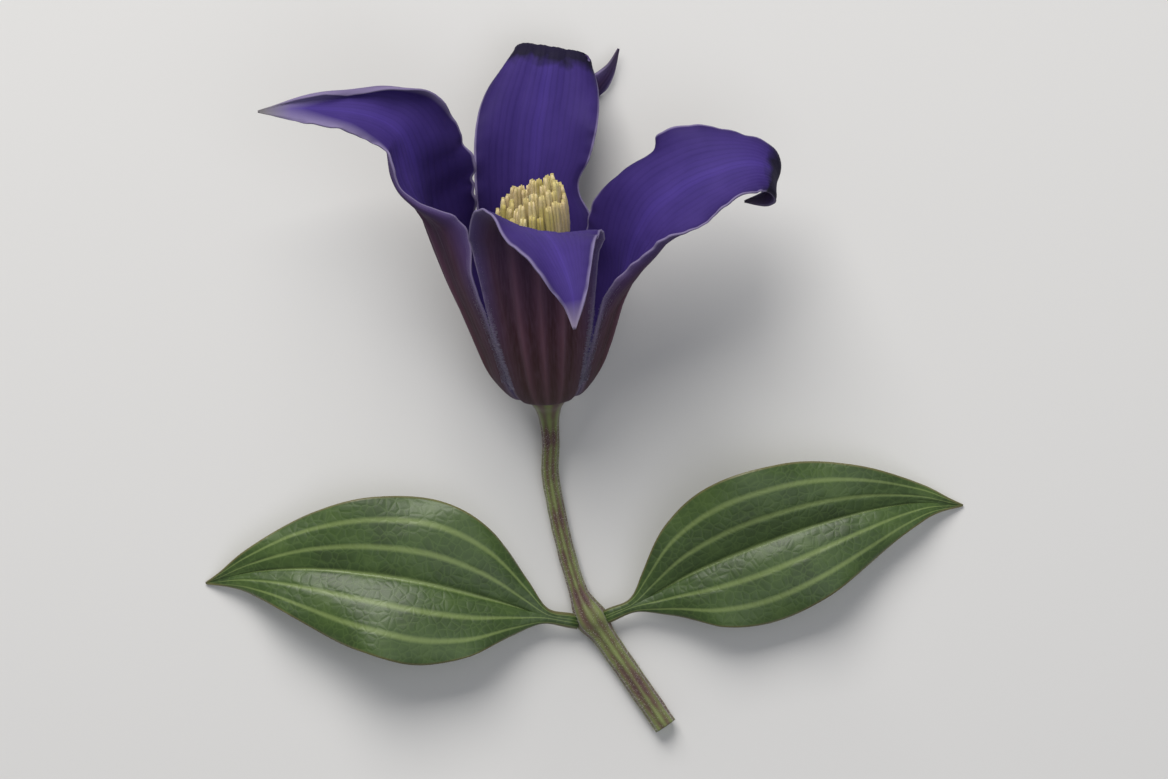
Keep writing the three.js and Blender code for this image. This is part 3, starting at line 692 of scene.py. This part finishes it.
def stamens_bmesh():
    """The boss: whorls of stamens that bow out and in again, each a little twisted, swayed and grainy.
    The attribute share holds a tone of each stamen's own, the share along it and the share along its rod."""
    chance = random.Random(41)
    bm, copies = repeated(stamen_template(), sum(whorl["count"] for whorl in WHORLS))
    facts = bm.verts.layers.float_vector["share"]
    for order, whorl in enumerate(WHORLS):
        for k in range(whorl["count"]):
            azimuth = 360 * (k + 0.37 * order + 0.25 * chance.random()) / whorl["count"]
            rightward = cos(radians(azimuth))
            height = whorl["height"] + RIGHT_SIDE_LIFT * rightward + HEIGHT_VARIES * (chance.random() - 0.6)
            top = whorl["top"] + LEFT_SIDE_SPREAD * (1 - rightward) / 2 + 0.15 * chance.uniform(-1, 1)
            bow = [
                (0, whorl["root"]),
                (0.5, (whorl["root"] + top) / 2 + 0.3),
                (0.78, top),
                (0.96, top - 0.05),
                (1, top - 0.15),
            ]
            twist = chance.uniform(-0.35, 0.35)
            sway = chance.uniform(-0.25, 0.25)
            tone = chance.random()
            for vert in next(copies):
                x, y, z = vert.co
                share = z / STAMEN_HEIGHT
                turned = twist * share
                outward = y * cos(turned) + x * sin(turned)
                drift = x * cos(turned) - y * sin(turned) + sway * share**3
                grain = 0.05 * noise.noise(Vector((x * 9 + 7 * k, y * 9, z * 4))) if share > 0.76 else 0
                radius = along(bow, share) + outward * (1 + grain) + grain
                lift = STAMEN_FLOOR + share * (height - STAMEN_FLOOR)
                vert[facts] = (tone, share, vert[facts].z)
                vert.co = flower_point(azimuth, radius, drift, lift) * MM
    return bm


# Pistils

STYLE_RINGS = [(10, 1.02, 1.3), (6, 0.5, 0.62)]  # how many, how far out at the root and at the top
STYLE_HEIGHT = 30
STYLES_REACH, STYLES_VARY = 28.4, 1.7
STYLE_HAIRS = 44
STYLE_HAIR_LENGTH = 1.1
STYLE_HAIR_RADIUS = 0.025


def style_template():
    """One silky style standing on its ovary: a slender rod with fine hairs that point up along it."""
    chance = random.Random(5)
    bm = bmesh.new()
    girth = [(0, 0.3), (0.12, 0.42), (0.24, 0.2), (0.7, 0.13), (1, 0.07)]

    def style(share, angle):
        width = along(girth, share)
        return Vector((width * cos(angle), width * sin(angle), share * STYLE_HEIGHT))

    add_rod(bm, 6, 16, style)
    for _ in range(STYLE_HAIRS):
        share = chance.uniform(0.2, 0.99)
        angle = chance.uniform(0, 2 * pi)
        lean = Matrix.Rotation(angle, 4, "Z") @ Matrix.Rotation(radians(20), 4, "Y")
        root = style(share, angle)
        size = Matrix.Diagonal((STYLE_HAIR_RADIUS, STYLE_HAIR_RADIUS, STYLE_HAIR_LENGTH, 1))
        place = Matrix.Translation(root) @ lean @ size @ Matrix.Translation((0, 0, 0.5))
        bmesh.ops.create_cone(bm, cap_ends=True, segments=3, radius1=1, radius2=0.3, depth=1, matrix=place)
    bmesh.ops.recalc_face_normals(bm, faces=bm.faces[:])
    return bm


def pistils_bmesh():
    """Two rings of styles inside the stamens, each slightly bent."""
    chance = random.Random(17)
    bm, copies = repeated(style_template(), sum(count for count, _, _ in STYLE_RINGS))
    for order, (count, root, top) in enumerate(STYLE_RINGS):
        for k in range(count):
            azimuth = 360 * (k + 0.4 * order + 0.2 * chance.random()) / count
            height = STYLES_REACH + STYLES_VARY * chance.random()
            bend = chance.uniform(-0.2, 0.2)
            for vert in next(copies):
                x, y, z = vert.co
                share = z / STYLE_HEIGHT
                radius = lerp(root, top, share) + y
                lift = STAMEN_FLOOR + share * (height - STAMEN_FLOOR)
                vert.co = flower_point(azimuth, radius, x + bend * share**2, lift) * MM
    return bm


# Stalk

STEM_END = (16.05, -44.97)
STEM_LEVEL_TO = (9.2, -35)
NODE_PLACE = (6, -30.4)
STEM_LIFT = 1.432
NODE_LIFT = 2.03
STALK_SIDES, STALK_RINGS = 64, 260


def stalk_line():
    """The stalk's line from the cut end to the receptacle, as stations of x, y, z and radius."""
    lying = [
        (*STEM_END, STEM_LIFT, STEM_RADIUS),
        (*STEM_LEVEL_TO, STEM_LIFT, STEM_RADIUS),
        (7.4, -32.4, STEM_LIFT + 0.3, STEM_RADIUS * 1.08),
        (*NODE_PLACE, NODE_LIFT, NODE_RADIUS),
        (5, -28.6, NODE_LIFT - 0.1, NODE_RADIUS * 0.8),
        (4.2, -26.8, 1.75, PEDUNCLE_RADIUS * 1.1),
        (2.6, -21.6, 1.35, PEDUNCLE_RADIUS),
        (1.2, -15.6, 1.35, PEDUNCLE_RADIUS),
        (0.35, -10.6, 1.85, PEDUNCLE_RADIUS),
    ]
    rising = [
        (-7.4, 1.15), (-4.2, 1.32), (-1.9, 1.84), (-0.5, 2.65),
        (0.3, RECEPTACLE_RADIUS), (RECEPTACLE_TOP, 2.68),
    ]
    points = [(*surface_point(*place), radius) for *place, radius in lying]
    points += [(*flower_point(0, 0, 0, height), radius) for height, radius in rising]
    return line_stations(points)


def stalk_surface(stations):
    """A function that gives the stalk's skin at a share of its length and an angle, ridges included."""

    def place(share, angle):
        centre, forward = point_on(stations, share), direction_on(stations, share)
        sideways = forward.cross(Vector((0, 0, 1))).normalized()
        upward = sideways.cross(forward)
        radius = along(stations[3], share)
        ridges = RIDGE_HEIGHT * cos(STEM_RIDGES * angle) * (1 - smoothstep(share, 0.86, 0.97))
        uneven = UNEVENNESS * noise.noise(Vector((cos(angle), sin(angle), share * 24)))
        reach = radius * (1 + ridges + uneven - 0.03)
        point = centre + (upward * sin(angle) + sideways * cos(angle)) * reach
        point.z = max(point.z, 0)
        return point

    return place


def stalk_bmesh(stations):
    """The stalk's skin, its cut end stepped in rings and given the second material."""
    bm = bmesh.new()
    place = stalk_surface(stations)
    add_rod(bm, STALK_SIDES, STALK_RINGS, lambda share, angle: place(share, angle) * MM)
    facts = bm.verts.layers.float_vector["share"]
    bm.normal_update()
    ends = [face for face in bm.faces if len(face.verts) == STALK_SIDES]
    cut_end = min(ends, key=lambda face: face.calc_center_median().y)
    cut_end.material_index = 1
    for width in CUT_RINGS:
        ring = bmesh.ops.inset_individual(bm, faces=[cut_end], thickness=width * MM, depth=CUT_STEP * MM)
        for face in ring["faces"]:
            face.material_index = 1
    for vert in cut_end.verts:
        vert[facts] = (0, 0, 0)
    turn_outward(bm)
    return bm


def stalk_down(stations):
    """Short soft hairs all round the stalk."""
    chance = random.Random(9)
    place = stalk_surface(stations)
    places = []
    while len(places) < STEM_HAIRS:
        share, angle = chance.uniform(0.005, 0.9), chance.uniform(0, 2 * pi)
        root = place(share, angle)
        outward = (root - point_on(stations, share)).normalized()
        forward = direction_on(stations, share)
        direction = outward + forward * chance.uniform(-0.2, 1) + noise.random_unit_vector() * 0.2
        direction.normalize()
        length = chance.uniform(*STEM_HAIR_LENGTH)
        if (root + direction * length).z > HAIR_CLEARANCE:
            places.append((root - outward * 0.05, direction, length))
    return hairs(places, STEM_HAIR_RADIUS)


# Materials

# A pattern's scale is how many of its spots or cells lie in a millimetre. Sockets 1 to 4 of a Map Range are
# the range that it reads and the range that it gives, and 6 and 7 of a Mix are its two colours.


def linear(code):
    """An sRGB hex colour as linear RGBA."""
    channels = [int(code[i:i + 2], 16) / 255 for i in (1, 3, 5)]
    return [c / 12.92 if c <= 0.04045 else ((c + 0.055) / 1.055) ** 2.4 for c in channels] + [1]


def add(tree, kind, inputs=(), stops=(), **settings):
    """Adds a node, its kind named without ShaderNode. An input is a value, a socket to link, or a node whose
    first shown output is linked. Stops are a colour ramp's."""
    made = tree.nodes.new("ShaderNode" + kind)
    for name, value in settings.items():
        setattr(made, name, value)
    for socket, value in dict(inputs).items():
        if isinstance(value, bpy.types.Node):
            value = next(o for o in value.outputs if o.enabled)
        if isinstance(value, bpy.types.NodeSocket):
            tree.links.new(value, made.inputs[socket])
        else:
            made.inputs[socket].default_value = value
    for k, (place, code) in enumerate(stops):
        elements = made.color_ramp.elements
        element = elements[k] if k < 2 else elements.new(place)
        element.position = place
        element.color = linear(code)
    return made


def new_material(name, constants):
    """A material with a Principled BSDF whose sockets hold the constants."""
    material = bpy.data.materials.new(name)
    material.use_nodes = True
    tree = material.node_tree
    shader = tree.nodes["Principled BSDF"]
    for socket, value in constants.items():
        shader.inputs[socket].default_value = value
    return material, tree, shader


def sepal_velvet(name, tip, fold, hem_width):
    """A fresh sepal, velvety inside with fine veins and a paler middle bar, ribbed and downy outside,
    with pale wool at its margins, thickest along the cup. The tip's colour is given, the share of its length
    from which the velvet lies folded over and is painted nearly black as shade, and how wide its pale hem
    grows.
    Its streaks are 0.3 mm wide and 3 mm long, its nap 0.14 mm, coarser than real velvet so that it shows."""
    constants = {
        "Roughness": 0.68, "Specular IOR Level": 0.15,
        "Sheen Weight": 0.05, "Sheen Roughness": 0.4, "Sheen Tint": linear("#8f80cf"),
    }
    material, tree, shader = new_material(name, constants)
    share = add(tree, "Attribute", attribute_name="share").outputs["Vector"]
    across, run, to_margin = add(tree, "SeparateXYZ", {0: share}).outputs
    place = add(tree, "Attribute", attribute_name="surface").outputs["Vector"]
    outside = add(tree, "SeparateXYZ", {0: place}).outputs[2]
    from_middle = add(tree, "Math", {0: across}, operation="ABSOLUTE")
    streaks = add(tree, "VectorMath", {0: place, 1: (1.6, 0.16, 1)}, operation="MULTIPLY")
    streak = add(tree, "TexNoise", {0: streaks, "Scale": 2.2, "Detail": 4})
    mottle = add(tree, "TexNoise", {0: place, "Scale": 0.22, "Detail": 3})

    wander = add(tree, "Math", {0: mottle, 1: 5.0}, operation="MULTIPLY")
    lines = add(tree, "Math", {0: across, 1: FINE_VEIN_PHASE, 2: wander}, operation="MULTIPLY_ADD")
    wave = add(tree, "Math", {0: lines}, operation="SINE")
    veins = add(tree, "MapRange", {0: wave, 1: 0.3, 2: 1.0, 3: 0.0, 4: 0.3})
    pale = add(tree, "MapRange", {0: mottle, 1: 0.35, 2: 0.75, 3: 0.0, 4: 0.26})
    hem_edge = add(tree, "MapRange", {0: run, 1: 0.64, 2: 0.8, 3: 0.3, 4: hem_width})
    hem = add(tree, "MapRange", {0: to_margin, 1: 0.1, 2: hem_edge, 3: 0.7, 4: 0.0})
    uneven = add(tree, "TexNoise", {0: place, "Scale": 0.5, "Detail": 3})
    # Painted shade: from fold on, with an uneven edge, the velvet is painted nearly black for the shade where
    # the sepal lies folded over.
    folded = add(tree, "Math", {0: uneven, 1: 0.05, 2: run}, operation="MULTIPLY_ADD")
    painted_fold_shade = add(tree, "MapRange", {0: folded, 1: fold, 2: fold + 0.024, 3: 0.0, 4: 0.93})

    inner_tone = [(0, "#3e2e7a"), (0.16, "#37286d"), (0.6, "#342566"), (0.86, "#2d1f5a"), (1, "#251849")]
    inner = add(tree, "ValToRGB", {0: from_middle}, inner_tone)
    for cover, colour in ((veins, "#281b54"), (pale, "#4b3985"), (hem, "#887ea2"), (painted_fold_shade, "#0e0a1c")):
        inner = add(tree, "Mix", {0: cover, 6: inner, 7: linear(colour)}, data_type="RGBA")

    to_rib = add(tree, "Math", {0: from_middle, 1: RIB_PLACE}, operation="SUBTRACT")
    to_rib = add(tree, "Math", {0: to_rib}, operation="ABSOLUTE")
    to_rib = add(tree, "Math", {0: to_rib, 1: from_middle}, operation="MINIMUM")
    lighter = add(tree, "MapRange", {0: streak, 1: 0.4, 2: 0.8, 3: 0.0, 4: 0.4})
    violet = add(tree, "MapRange", {0: run, 1: 0.3, 2: 0.55, 3: 0.0, 4: 0.5})
    # Past the cup the outer face turns a lighter bluish lilac near the margins: partly its own colour, partly
    # a painted sheen.
    rim_tint_and_sheen = add(tree, "MapRange", {0: to_margin, 1: 0.4, 2: 2.8, 3: 0.85, 4: 0.0})
    past_cup = add(tree, "MapRange", {0: run, 1: 0.24, 2: 0.46, 3: 0.25, 4: 1.0})
    rim_tint_and_sheen = add(tree, "Math", {0: rim_tint_and_sheen, 1: past_cup}, operation="MULTIPLY")
    wool_edge = add(tree, "Math", {0: streak, 1: 0.9, 2: 0.4}, operation="MULTIPLY_ADD")
    wool = add(tree, "MapRange", {0: to_margin, 1: 0.15, 2: wool_edge, 3: 0.75, 4: 0.0})
    thinned = add(tree, "MapRange", {0: run, 1: 0.26, 2: 0.44, 3: 1.0, 4: 0.2})
    wool = add(tree, "Math", {0: wool, 1: thinned}, operation="MULTIPLY")
    wool = add(tree, "Math", {0: wool, 1: hem}, operation="MAXIMUM")
    foot = add(tree, "MapRange", {0: run, 1: 0.02, 2: 0.3, 3: 0.6, 4: 0.0})

    outer_tone = [(0, "#634350"), (0.05, "#523441"), (0.12, "#3c2129"), (0.2, "#351c23"), (0.34, "#462a34")]
    outer = add(tree, "ValToRGB", {0: to_rib}, outer_tone)
    covers = (lighter, "#634a5e"), (violet, "#322248"), (rim_tint_and_sheen, "#443767"), (wool, "#83799a"), (foot, "#4b3c34")
    for cover, colour in covers:
        outer = add(tree, "Mix", {0: cover, 6: outer, 7: linear(colour)}, data_type="RGBA")

    both = add(tree, "Mix", {0: outside, 6: inner, 7: outer}, data_type="RGBA")
    tip_share = add(tree, "MapRange", {0: run, 1: 0.93, 2: 0.99, 3: 0.0, 4: 0.85})
    both = add(tree, "Mix", {0: tip_share, 6: both, 7: linear(tip)}, data_type="RGBA")
    tree.links.new(both.outputs[2], shader.inputs["Base Color"])

    nap = add(tree, "TexNoise", {0: place, "Scale": 7.0, "Detail": 3})
    grain = add(tree, "Math", {0: streak, 1: nap}, operation="ADD")
    bump = add(tree, "Bump", {"Strength": 0.35, "Distance": 0.06 * MM, "Height": grain})
    tree.links.new(bump.outputs[0], shader.inputs["Normal"])
    return material


def plain_hair(name, colour, sheen):
    """Fine plant hair: pale, matt, with a soft sheen where light grazes it."""
    return new_material(name, {"Base Color": linear(colour), "Roughness": 0.8, "Sheen Weight": sheen})[0]


def pollen_anther():
    """Anthers dusted with pollen: matt and grainy, each its own pale yellow, the spent ones creamier.
    The grain is 0.24 mm, coarser than pollen so that it shows."""
    material, tree, shader = new_material("pollen_anther", {"Roughness": 0.85, "Sheen Weight": 0.15})
    share = add(tree, "Attribute", attribute_name="share").outputs["Vector"]
    own_tone = add(tree, "SeparateXYZ", {0: share}).outputs[0]
    place = add(tree, "TexCoord").outputs["Object"]
    tones = [(0, "#a5974c"), (0.5, "#c3b56c"), (1, "#dccf98")]
    tone = add(tree, "ValToRGB", {0: own_tone}, tones)
    patches = add(tree, "TexNoise", {0: place, "Scale": 0.26 / MM, "Detail": 1})
    spent = add(tree, "MapRange", {0: patches, 1: 0.42, 2: 0.58, 3: 0.0, 4: 0.7})
    grain = add(tree, "TexNoise", {0: place, "Scale": 4.2 / MM, "Detail": 2})
    dusty = add(tree, "MapRange", {0: grain, 1: 0.45, 2: 0.75, 3: 0.0, 4: 0.5})
    for cover, colour in ((spent, "#d2bd9a"), (dusty, "#a3934a")):
        tone = add(tree, "Mix", {0: cover, 6: tone, 7: linear(colour)}, data_type="RGBA")
    tree.links.new(tone.outputs[2], shader.inputs["Base Color"])
    bump = add(tree, "Bump", {"Strength": 0.6, "Distance": 0.05 * MM, "Height": grain})
    tree.links.new(bump.outputs[0], shader.inputs["Normal"])
    return material


def cream_filament():
    """Filaments: smooth cream, faintly green towards the root."""
    material, tree, shader = new_material("cream_filament", {"Roughness": 0.55})
    share = add(tree, "Attribute", attribute_name="share").outputs["Vector"]
    run = add(tree, "SeparateXYZ", {0: share}).outputs[1]
    tones = [(0, "#8f9168"), (0.6, "#b9ae8c"), (0.85, "#cbbf95"), (1, "#b0a166")]
    colour = add(tree, "ValToRGB", {0: run}, tones)
    tree.links.new(colour.outputs[0], shader.inputs["Base Color"])
    return material


def silky_style():
    """Styles: pale green-cream under white silk."""
    constants = {"Base Color": linear("#b4ae84"), "Roughness": 0.5, "Sheen Weight": 0.5}
    return new_material("silky_style", constants)[0]


def downy_stem():
    """Green stem skin flushed brown-purple in 4 mm patches, greener on its ridges, with a 0.5 mm grain."""
    material, tree, shader = new_material("downy_stem", {"Roughness": 0.6, "Sheen Weight": 0.25})
    place = add(tree, "TexCoord").outputs["Object"]
    share = add(tree, "Attribute", attribute_name="share").outputs["Vector"]
    cosine, sine, _ = add(tree, "SeparateXYZ", {0: share}).outputs
    angle = add(tree, "Math", {0: sine, 1: cosine}, operation="ARCTAN2")
    round_ridges = add(tree, "Math", {0: angle, 1: STEM_RIDGES}, operation="MULTIPLY")
    ridge = add(tree, "Math", {0: round_ridges}, operation="COSINE")
    patches = add(tree, "TexNoise", {0: place, "Scale": 0.24 / MM, "Detail": 4})
    flush = add(tree, "Math", {0: ridge, 1: -0.12, 2: patches}, operation="MULTIPLY_ADD")
    tones = [(0.3, "#6f7a43"), (0.45, "#5f6238"), (0.6, "#574534"), (0.75, "#4b3033")]
    colour = add(tree, "ValToRGB", {0: flush}, tones)
    tree.links.new(colour.outputs[0], shader.inputs["Base Color"])
    fibres = add(tree, "TexNoise", {0: place, "Scale": 1.8 / MM, "Detail": 2})
    bump = add(tree, "Bump", {"Strength": 0.4, "Distance": 0.06 * MM, "Height": fibres})
    tree.links.new(bump.outputs[0], shader.inputs["Normal"])
    return material


def cut_pith():
    """The fresh cut: wet pale green pith, its cells 0.4 mm wide, coarser than real ones so that they show."""
    material, tree, shader = new_material("cut_pith", {"Roughness": 0.4})
    place = add(tree, "TexCoord").outputs["Object"]
    cells = add(tree, "TexVoronoi", {0: place, "Scale": 2.6 / MM})
    colour = add(tree, "ValToRGB", {0: cells}, [(0, "#c9cfa0"), (0.8, "#8f9a63")])
    tree.links.new(colour.outputs[0], shader.inputs["Base Color"])
    return material


def fresh_leaf():
    """A fresh leaf: mid green with a soft sheen above, paler and matt below, its paler net of veins 1.2 mm
    from vein to vein."""
    material, tree, shader = new_material("fresh_leaf", {"Sheen Weight": 0.12, "Specular IOR Level": 0.45})
    share = add(tree, "Attribute", attribute_name="share").outputs["Vector"]
    across, _, to_margin = add(tree, "SeparateXYZ", {0: share}).outputs
    place = add(tree, "Attribute", attribute_name="surface").outputs["Vector"]
    below = add(tree, "SeparateXYZ", {0: place}).outputs[2]
    from_middle = add(tree, "Math", {0: across}, operation="ABSOLUTE")
    nearest = from_middle
    for vein in (NEAR_VEIN, FAR_VEIN):
        to_vein = add(tree, "Math", {0: from_middle, 1: vein}, operation="SUBTRACT")
        to_vein = add(tree, "Math", {0: to_vein}, operation="ABSOLUTE")
        nearest = add(tree, "Math", {0: nearest, 1: to_vein}, operation="MINIMUM")
    main_veins = add(tree, "MapRange", {0: nearest, 1: 0.012, 2: 0.05, 3: 0.75, 4: 0.0})

    net = add(tree, "TexVoronoi", {0: place, "Scale": 0.85}, feature="DISTANCE_TO_EDGE")
    net_line = add(tree, "MapRange", {0: net, 1: 0.01, 2: 0.09, 3: 0.45, 4: 0.0})
    patches = add(tree, "TexNoise", {0: place, "Scale": 0.16, "Detail": 4})
    tones = [(0.3, "#293b16"), (0.5, "#344a1d"), (0.7, "#425826")]
    upper = add(tree, "ValToRGB", {0: patches}, tones)
    under = linear("#6c7d50")
    for cover, paler, palest in ((net_line, "#4a602d", "#8f9d70"), (main_veins, "#71834a", "#a5ae84")):
        upper = add(tree, "Mix", {0: cover, 6: upper, 7: linear(paler)}, data_type="RGBA")
        under = add(tree, "Mix", {0: cover, 6: under, 7: linear(palest)}, data_type="RGBA")
    both = add(tree, "Mix", {0: below, 6: upper, 7: under}, data_type="RGBA")
    margin = add(tree, "MapRange", {0: to_margin, 1: 0.1, 2: 0.35, 3: 0.5, 4: 0.0})
    both = add(tree, "Mix", {0: margin, 6: both, 7: linear("#7d6f4a")}, data_type="RGBA")
    tree.links.new(both.outputs[2], shader.inputs["Base Color"])
    matt = add(tree, "MapRange", {0: below, 1: 0.0, 2: 1.0, 3: 0.42, 4: 0.75})
    tree.links.new(matt.outputs[0], shader.inputs["Roughness"])
    dimples = add(tree, "MapRange", {0: net, 1: 0.0, 2: 0.25, 3: 0.0, 4: 1.0})
    bump = add(tree, "Bump", {"Strength": 0.3, "Distance": 0.08 * MM, "Height": dimples})
    tree.links.new(bump.outputs[0], shader.inputs["Normal"])
    return material


def matt_table():
    """The table: plain pale grey, matt."""
    return new_material("matt_table", {"Base Color": linear("#cfcfce"), "Roughness": 0.9})[0]


# Pieces

scene = bpy.context.scene


def placed(name, bm, materials):
    """An object in the scene, made of a finished bmesh."""
    mesh = bpy.data.meshes.new(name)
    bm.to_mesh(mesh)
    bm.free()
    for material in materials:
        mesh.materials.append(material)
    made = bpy.data.objects.new(name, mesh)
    scene.collection.objects.link(made)
    return made


def show(name, bm, materials, node=None):
    """Makes a piece, smooth, riding on the flower's one body."""
    for face in bm.faces:
        face.smooth = True
    piece = placed(name, bm, materials)
    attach(piece, "root")
    if node:
        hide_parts(node)


wool = plain_hair("margin_wool", "#7d768e", 0.2)
for order, (name, sepal) in enumerate(SEPALS.items()):
    grid, half_widths = sepal_sheet(sepal)
    velvet = sepal_velvet(f"velvet_{name}", sepal["tip"], sepal["fold"], sepal["hem"])
    show(f"{name}_skin", sepal_bmesh(grid, half_widths), [velvet], name)
    show(f"{name}_wool", margin_wool(grid, 100 + order), [wool])

show("stamens_fine", stamens_bmesh(), [pollen_anther(), cream_filament()], "stamens")
show("pistils_fine", pistils_bmesh(), [silky_style()], "pistils")

leaf_skin = fresh_leaf()
for name, leaf in LEAVES.items():
    show(f"{name}_skin", leaf_bmesh(*leaf_sheet(leaf)), [leaf_skin], name)

noise.seed_set(3)  # for the lean of the stalk's hairs
stalk_stations = stalk_line()
show("stalk_skin", stalk_bmesh(stalk_stations), [downy_stem(), cut_pith()], "stalk")
show("stalk_down", stalk_down(stalk_stations), [plain_hair("stem_down", "#b3ac9a", 0.6)])


# Table, light and camera, in metres

TABLE_REACH = 3
CAMERA_HEIGHT = 0.9
FRAMED_HEIGHT = 0.106
SENSOR_WIDTH, SENSOR_HEIGHT = 36, 24

table_bm = bmesh.new()
bmesh.ops.create_grid(table_bm, x_segments=1, y_segments=1, size=TABLE_REACH)
table = placed("table", table_bm, [matt_table()])


def soft_light(name, place, size, power, colour):
    """A square softbox that faces the flower."""
    light = bpy.data.lights.new(name, "AREA")
    light.size = size
    light.energy = power
    light.color = linear(colour)[:3]
    lamp = bpy.data.objects.new(name, light)
    lamp.location = place
    lamp.rotation_euler = (-Vector(place)).to_track_quat("-Z", "Y").to_euler()
    scene.collection.objects.link(lamp)


soft_light("key", (-0.15, 0.55, 0.55), 0.5, 7, "#fffcf8")
soft_light("fill", (0.25, -0.2, 0.9), 0.8, 2.3, "#f5f7ff")

world = bpy.data.worlds.new("studio")
world.use_nodes = True
background = world.node_tree.nodes["Background"].inputs
background["Color"].default_value = linear("#e2e3e6")
background["Strength"].default_value = 0.3
scene.world = world
scene.view_settings.view_transform = "Standard"

camera_data = bpy.data.cameras.new("camera")
camera_data.sensor_width = SENSOR_WIDTH
camera_data.lens = SENSOR_HEIGHT * CAMERA_HEIGHT / FRAMED_HEIGHT
camera = bpy.data.objects.new("camera", camera_data)
camera.location = (0, 0, CAMERA_HEIGHT)
scene.collection.objects.link(camera)
bpy.context.scene.camera = camera
